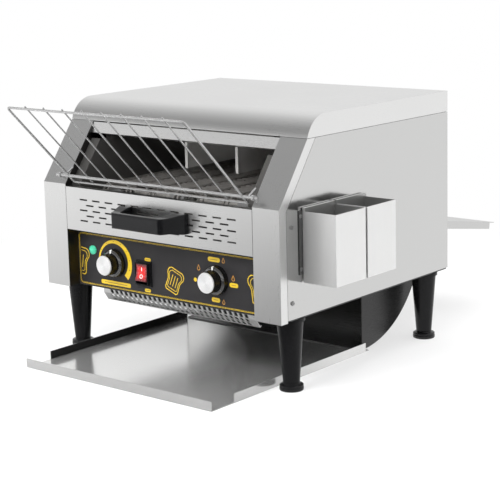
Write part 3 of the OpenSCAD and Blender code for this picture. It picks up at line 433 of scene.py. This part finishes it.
# a mitre is at most 1 / 0.35 of the line's half width
SHARPEST_MITRE = 0.35


def round_rect(cx, cz, w, h, r):
    """Outline of a rectangle with round corners."""
    points = []
    for sx, sz, a in ((1, 1, 0), (-1, 1, 90), (-1, -1, 180), (1, -1, 270)):
        points += arc(cx + sx * (w / 2 - r), cz + sz * (h / 2 - r), r, a, a + 90, CORNER_STEPS)
    return points


def bar(cx, cz, w, h):
    x, z = w / 2, h / 2
    return [(cx - x, cz - z), (cx + x, cz - z), (cx + x, cz + z), (cx - x, cz + z)]


def stroke(points, width, closed=False):
    """One four-sided loop per piece of a line, with mitred corners."""
    pts = [Vector(p) for p in points]
    n = len(pts)
    sides = []
    for i, p in enumerate(pts):
        before = pts[(i - 1) % n] if closed or i else None
        after = pts[(i + 1) % n] if closed or i < n - 1 else None
        come = (p - before).normalized() if before is not None else None
        go = (after - p).normalized() if after is not None else None
        come, go = come or go, go or come
        mid = (come + go).normalized()
        normal = Vector((-mid.y, mid.x))
        grow = width / 2 / max(SHARPEST_MITRE, normal.dot(Vector((-go.y, go.x))))
        sides.append((p + normal * grow, p - normal * grow))
    loops = []
    for i in range(n if closed else n - 1):
        a, b = sides[i], sides[(i + 1) % n]
        loops.append([a[0], a[1], b[1], b[0]])
    return loops


def cut_at(loop, limit):
    """The part of a loop whose distance from the panel's middle line is under a limit."""
    side = 1 if loop[0][0] > 0 else -1
    kept = []
    for i, p in enumerate(loop):
        q = loop[(i + 1) % len(loop)]
        if side * p[0] <= limit:
            kept.append(p)
        if (side * p[0] <= limit) != (side * q[0] <= limit):
            t = (side * limit - p[0]) / (q[0] - p[0])
            kept.append((side * limit, p[1] + (q[1] - p[1]) * t))
    return kept


# ---------- pieces that only the render has ----------

def add_piece(name, bm, material, body):
    """Turns a bmesh into a piece that rides on a body."""
    bmesh.ops.recalc_face_normals(bm, faces=bm.faces[:])
    mesh = bpy.data.meshes.new(name)
    bm.to_mesh(mesh)
    bm.free()
    mesh.materials.append(material)
    obj = new_object(name, mesh)
    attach(obj, body)


PANEL_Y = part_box("control_panel")[0].y
INK = 0.15 * MM


def print_piece(name, loops, material, y=PANEL_Y):
    """Flat shapes in X and Z (mm), printed on a face of the case that looks along -Y."""
    bm = bmesh.new()
    for loop in loops:
        bm.faces.new([bm.verts.new((x * MM, y, z * MM)) for x, z in loop])
    bmesh.ops.triangulate(bm, faces=bm.faces[:])
    bmesh.ops.recalc_face_normals(bm, faces=bm.faces[:])
    for f in bm.faces:
        if f.normal.y > 0:
            f.normal_flip()
    top = bmesh.ops.extrude_face_region(bm, geom=bm.faces[:])
    for v in (g for g in top["geom"] if isinstance(g, bmesh.types.BMVert)):
        v.co.y -= INK
    add_piece(name, bm, material, "case")


# ---------- print on the control panel (mm) ----------

SPEED_X = middle_of("speed_knob").x / MM
MODE_X = middle_of("mode_knob").x / MM
KNOB_Z = middle_of("speed_knob").z / MM

# border: two fine lines, as middle height, then width, height, corner radius and thickness
BORDER_Z = 150.8
BORDER_LINES = ((369, 80, 6, 0.6), (366.4, 77.4, 4.7, 0.36))
border = []
for w, h, r, thick in BORDER_LINES:
    border += stroke(round_rect(0, BORDER_Z, w, h, r), thick, True)

# speed scale: a band round the knob that grows inward from slow to fast
SCALE_START, SCALE_END = 176, -42
SCALE_STEPS = 40
SCALE_R = 35.5
SCALE_NARROW, SCALE_WIDE = 2.6, 9.6


def scale_width(t):
    return SCALE_NARROW + (SCALE_WIDE - SCALE_NARROW) * t


def scale_point(t, inward):
    """Point at the share t of the scale, inward from its rim."""
    a = math.radians(SCALE_START + (SCALE_END - SCALE_START) * t)
    r = SCALE_R - inward
    return SPEED_X + r * math.cos(a), KNOB_Z + r * math.sin(a)


scale = []
for step in range(SCALE_STEPS):
    t, u = step / SCALE_STEPS, (step + 1) / SCALE_STEPS
    scale.append([scale_point(t, 0), scale_point(t, scale_width(t)),
                  scale_point(u, scale_width(u)), scale_point(u, 0)])

# plates: x, z, width, height, corner radius, and the length of a dark line where a machine has its words
PLATES = (
    (SPEED_X, 118.4, 63, 6.6, 2.4, 48),
    (-38, 164.2, 12.5, 5.4, 2.6, 7),
    (-39.7, 116.5, 12.5, 5.4, 2.6, 7),
    (MODE_X - 5, 180.6, 23, 6.8, 3.2, 14),
    (MODE_X + 32, 147, 16, 6.6, 3.1, 8),
    (MODE_X - 3, 120.8, 16, 6.6, 3.1, 8),
    (MODE_X - 42, 146, 6, 6, 2.9, 0),
)
PLATE_LINE = 0.7
plates = [round_rect(x, z, w, h, r) for x, z, w, h, r, _ in PLATES]
plate_lines = [bar(x, z, line, PLATE_LINE) for x, z, _, _, _, line in PLATES if line]

# small heat marks beside the plates: upright drops, as x, z and height
DROPS = ((MODE_X + 13, 181, 7.5), (MODE_X + 12, 119.5, 7), (MODE_X + 31, 157, 8), (MODE_X - 35, 165, 8))
DROP_LINE = 0.8
drops = []
for x, z, tall in DROPS:
    drops += stroke(arc(x, z - tall / 6, tall / 3.2, 150, 390, 8) + [(x, z + tall / 2)], DROP_LINE, True)


# a slice icon's outer and inner outline: scale and thickness, and the thickness of its bars
CRUSTS = ((1.12, 1.3), (0.87, 0.9))
BAR_LINE = 1.2


def slice_icon(cx, cz, size, lean):
    """Outline of a bread slice inside another, with three grill bars, size times the mm below."""
    crown = arc(-6.4, 7, 5.8, 225, 75, 8) + arc(6.4, 7, 5.8, 105, -45, 8)
    body = [(9, -1), (9.4, -12), (7.6, -14), (-7.6, -14), (-9.4, -12), (-9, -1)]
    bar_places, bar_foot, bar_top = (-4.4, 0, 4.4), -8.5, 6
    cos, sin = math.cos(math.radians(lean)), math.sin(math.radians(lean))

    def put(p, k=1.0):
        x, z = p[0] * k * size, p[1] * k * size
        return cx + x * cos - z * sin, cz + x * sin + z * cos

    loops = []
    for k, thick in CRUSTS:
        loops += stroke([put(p, k) for p in crown + body], thick, True)
    for x in bar_places:
        loops += stroke([put((x, bar_foot)), put((x, bar_top))], BAR_LINE)
    return loops


# one whole slice in the middle, and one at each end that the border cuts off
SLICE_CUT = 180.5
icons = slice_icon(15, 139, 1.2, -22)
for x, lean in ((-184, -8), (178.5, 8)):
    cut = [cut_at(loop, SLICE_CUT) for loop in slice_icon(x, 148, 1.4, lean)]
    icons += [loop for loop in cut if len(loop) > 2]

# dots on the scale, larger toward fast
SCALE_DOTS = 7
dots = []
for k in range(1, SCALE_DOTS + 1):
    t = k / (SCALE_DOTS + 1)
    x, z = scale_point(t, scale_width(t) / 2)
    dots.append(arc(x, z, 0.55 + 0.35 * t, 0, 330, 11))

print_piece("panel_border", border, yellow)
print_piece("panel_scale", scale, yellow)
print_piece("panel_plates", plates, yellow)
print_piece("panel_drops", drops, amber)
print_piece("panel_icons", icons, yellow)
print_piece("scale_dots", dots, dark_print, PANEL_Y - INK)
print_piece("plate_lines", plate_lines, dark_print, PANEL_Y - INK)


# ---------- knob rings and pointers (mm) ----------

# the plane that the knobs' depths are measured from, in metres
KNOB_ROOT = PANEL_Y - 0.4 * MM
# section of the ring: radius and depth
RING = [(20.9, 6.9), (21.0, 7.3), (20.6, 7.9), (17.9, 9.8), (17.2, 9.95), (16.1, 9.95), (16.1, 6.9)]
RING_STEPS = 72
# pointer: width, depth and height, and how far its middle lies before the root and above the axis
POINTER = (2.2, 4.6, 5.2)
POINTER_DEPTH, POINTER_RISE = 8.1, 19.0
POINTER_TAPER = 0.7
POINTER_EDGE = 0.3 * MM


def knob_ring(name, x, body):
    """Bright ring on the front edge of a knob's skirt, turned from its section."""
    bm = bmesh.new()
    rows = []
    for i in range(RING_STEPS):
        a = 2 * math.pi * i / RING_STEPS
        rows.append([bm.verts.new(((x + r * math.cos(a)) * MM, KNOB_ROOT - d * MM,
                                   (KNOB_Z + r * math.sin(a)) * MM)) for r, d in RING])
    for i, row in enumerate(rows):
        after = rows[(i + 1) % RING_STEPS]
        for k in range(len(RING)):
            n = (k + 1) % len(RING)
            bm.faces.new((row[k], row[n], after[n], after[k])).smooth = True
    add_piece(name + "_ring", bm, ring_metal, body)


def knob_pointer(name, x, body):
    """White mark on top of a knob's skirt, narrower at its top."""
    bm = bmesh.new()
    for v in bmesh.ops.create_cube(bm, size=1.0)["verts"]:
        width = POINTER[0] * (POINTER_TAPER if v.co.z > 0 else 1.0)
        v.co = Vector(((x + v.co.x * width) * MM, KNOB_ROOT + (v.co.y * POINTER[1] - POINTER_DEPTH) * MM,
                       (KNOB_Z + POINTER_RISE + v.co.z * POINTER[2]) * MM))
    bmesh.ops.bevel(bm, geom=bm.edges[:], offset=POINTER_EDGE, segments=2, affect="EDGES")
    add_piece(name + "_pointer", bm, white_print, body)


for name, x in (("speed", SPEED_X), ("mode", MODE_X)):
    knob_ring(name, x, name + "_dial")
    knob_pointer(name, x, name + "_dial")


# ---------- rocker marks (mm) ----------

ROCKER = middle_of("rocker_bezel") / MM
PIVOT_DEPTH = 7
REST_TILT = math.radians(-8)
# section of the button's face above its middle: height and distance from the pivot
FACE_MIDDLE, FACE_KINK, FACE_TOP = (0, 14.0), (6.45, 14.6), (12.9, 16.0)
MARK_SUNK, MARK_PROUD = -0.1, 0.12
# strokes of the I and the O
I_WIDTH, I_FOOT, I_TOP = 1.1, 2.6, 8.0
O_LINE, O_RADIUS, O_Z = 0.9, 2.6, -5.6


def face_depth(z):
    """Distance of the button's face from the pivot at a height."""
    low, high = (FACE_MIDDLE, FACE_KINK) if abs(z) < FACE_KINK[0] else (FACE_KINK, FACE_TOP)
    return low[1] + (high[1] - low[1]) * (abs(z) - low[0]) / (high[0] - low[0])


def rocker_point(x, z, lift):
    """Place of a point on the button's face, given from its middle."""
    y = -face_depth(z) - lift
    cos, sin = math.cos(REST_TILT), math.sin(REST_TILT)
    return ((ROCKER.x + x) * MM, PANEL_Y + (PIVOT_DEPTH + y * cos - z * sin) * MM,
            (ROCKER.z + y * sin + z * cos) * MM)


def rocker_mark(name, loops):
    """Raised mark on the button's face."""
    bm = bmesh.new()
    for loop in loops:
        low = [bm.verts.new(rocker_point(x, z, MARK_SUNK)) for x, z in loop]
        top = [bm.verts.new(rocker_point(x, z, MARK_PROUD)) for x, z in loop]
        bm.faces.new(top)
        bm.faces.new(low[::-1])
        for i in range(len(loop)):
            k = (i + 1) % len(loop)
            bm.faces.new((low[i], low[k], top[k], top[i]))
    add_piece(name, bm, mark_print, "rocker")


# the I is cut at the face's kink, so that it lies on both flats
rocker_mark("rocker_on", [bar(0, (low + high) / 2, I_WIDTH, high - low)
                          for low, high in ((I_FOOT, FACE_KINK[0]), (FACE_KINK[0], I_TOP))])
rocker_mark("rocker_off", stroke(arc(0, O_Z, O_RADIUS, 0, 345, 23), O_LINE, True))


# ---------- floor ----------

FLOOR_SIZE = 14
FLOOR_DROP = 0.2 * MM
# metal sees the floor go dark round one spot before the object, as where a photographer stands
DARK_SPOT = (1.0, -1.1)
DARK_REACH = 2.5
DARK_FADE = ((0.2, 0.08), (0.34, 0.18), (0.5, 0.4), (0.67, 0.75), (0.84, 1))
# behind the object's front the floor is white again
WHITE_FROM, WHITE_AT = -0.5, 0.0
# the camera sees shadows, softened by a share of plain white, to one distance, and only white from another
SHADOWS_TO, PLAIN_FROM = 0.5, 1.0
NEAR_WHITE = 0.62


def floor_material():
    """White floor that keeps shadows near the object, mirrored with a dark spot and clear from below."""
    m = Mat("stage", (0.9, 0.9, 0.9), 0.9)
    at = m.split(m.where)

    def distance(x, y):
        dx = m.math("SUBTRACT", at["X"], x)
        dy = m.math("SUBTRACT", at["Y"], y)
        return m.hypotenuse(m.math("ABSOLUTE", dx), m.math("ABSOLUTE", dy))

    ray = m.node("ShaderNodeLightPath").outputs
    mirrored = m.math("MAXIMUM", ray["Is Glossy Ray"], ray["Is Transmission Ray"])
    stops = [(position, (value,) * 3) for position, value in DARK_FADE]
    fade = m.ramp(m.math("DIVIDE", distance(*DARK_SPOT), DARK_REACH), stops)
    seen = m.math("MAXIMUM", fade, m.span(at["Y"], 0.0, 1.0, WHITE_FROM, WHITE_AT))
    glow = m.node("ShaderNodeEmission")
    glow.inputs["Strength"].default_value = 1.0
    m.link(m.mix(mirrored, (1, 1, 1), seen), glow.inputs["Color"])
    plain = m.span(distance(0.0, 0.0), NEAR_WHITE, 1.0, SHADOWS_TO, PLAIN_FROM)
    share = m.math("ADD", m.math("MULTIPLY", ray["Is Camera Ray"], plain), mirrored)
    above = m.mix_shader(share, m.shader.outputs["BSDF"], glow.outputs["Emission"])
    below = m.node("ShaderNodeBsdfTransparent").outputs["BSDF"]
    underside = m.node("ShaderNodeNewGeometry").outputs["Backfacing"]
    m.link(m.mix_shader(underside, above, below), m.tree.nodes["Material Output"].inputs["Surface"])
    return m.material


bm = bmesh.new()
bmesh.ops.create_grid(bm, x_segments=2, y_segments=2, size=FLOOR_SIZE)
floor_mesh = bpy.data.meshes.new("floor")
bm.to_mesh(floor_mesh)
bm.free()
floor_mesh.materials.append(floor_material())
floor = new_object("floor", floor_mesh)
floor.location.z = -FLOOR_DROP


# ---------- world: a studio that is white round the object and dark where the camera stands ----------

# brightness at the horizon, and overhead in front and at the back, with the runs of Z and Y between
HORIZON = 0.88
HORIZON_Z = (0.2, 0.45)
OVERHEAD = (0.3, 0.88)
OVERHEAD_Y = (-0.45, 0.5)
# low down it darkens toward the camera: brightness, run of the cosine to that direction, and run of Z
TO_CAMERA = (0.64, -0.77, 0.0)
CAMERA_DARK = 0.12
CAMERA_COSINE = (0.5, 0.98)
CAMERA_Z = (0.05, 0.25)

world = bpy.data.worlds.new("studio")
bpy.context.scene.world = world
world.use_nodes = True
sky = Net(world.node_tree)
direction = sky.coords("Generated")
toward = sky.split(direction)
overhead = sky.span(toward["Y"], *OVERHEAD, *OVERHEAD_Y)
height = sky.span(toward["Z"], 0.0, 1.0, *HORIZON_Z)
dome = sky.math("ADD", HORIZON, sky.math("MULTIPLY", height, sky.math("SUBTRACT", overhead, HORIZON)))
lobe = sky.node("ShaderNodeVectorMath", operation="DOT_PRODUCT")
lobe.inputs[1].default_value = TO_CAMERA
sky.link(direction, lobe.inputs[0])
shade = sky.math("MAXIMUM", sky.span(lobe.outputs["Value"], 1.0, CAMERA_DARK, *CAMERA_COSINE),
                 sky.span(toward["Z"], 0.0, 1.0, *CAMERA_Z))
camera_ray = sky.node("ShaderNodeLightPath").outputs["Is Camera Ray"]
background = sky.tree.nodes["Background"]
background.inputs["Strength"].default_value = 1.0
sky.link(sky.mix(camera_ray, sky.math("MULTIPLY", dome, shade), (1, 1, 1)), background.inputs["Color"])


# ---------- lamps, which metal doesn't mirror ----------

def add_lamp(name, data, power, at, target):
    data.energy = power
    obj = new_object(name, data)
    obj.location = at
    obj.rotation_euler = (Vector(target) - Vector(at)).to_track_quat("-Z", "Y").to_euler()
    obj.visible_glossy = False


# soft boxes: place, target, width and height, watts
SOFT_BOXES = {
    "key": ((-1.6, -2.2, 2.6), (0, 0, 0.2), (1.8, 1.8), 70),
    "fill": ((2.4, -1.2, 1.6), (0, 0, 0.2), (1.6, 1.6), 26),
    "top": ((0.2, 0.4, 3.2), (0, 0, 0), (3.0, 3.0), 90),
    "low": ((1.2, -1.5, 0.12), (-0.1, 0.1, 0.03), (0.7, 0.12), 5),
    "mouth": ((0.1, -0.9, 0.75), (0.0, 0.0, 0.27), (0.5, 0.3), 9),
}
for name, (at, target, size, power) in SOFT_BOXES.items():
    lamp = bpy.data.lights.new(name, "AREA")
    lamp.shape = "RECTANGLE"
    lamp.size, lamp.size_y = size
    add_lamp(name, lamp, power, at, target)

# a narrow beam under the body, on the far side plate of the slide
BEAM_FROM, BEAM_ON = (0.9, -1.1, 0.1), (-0.181, 0.07, 0.035)
BEAM_DEGREES, BEAM_WATTS = 3.6, 130
beam = bpy.data.lights.new("beam", "SPOT")
beam.spot_size = math.radians(BEAM_DEGREES)
beam.spot_blend = 0.6
beam.shadow_soft_size = 0.03
add_lamp("beam", beam, BEAM_WATTS, BEAM_FROM, BEAM_ON)

bpy.context.scene.view_settings.view_transform = "Standard"
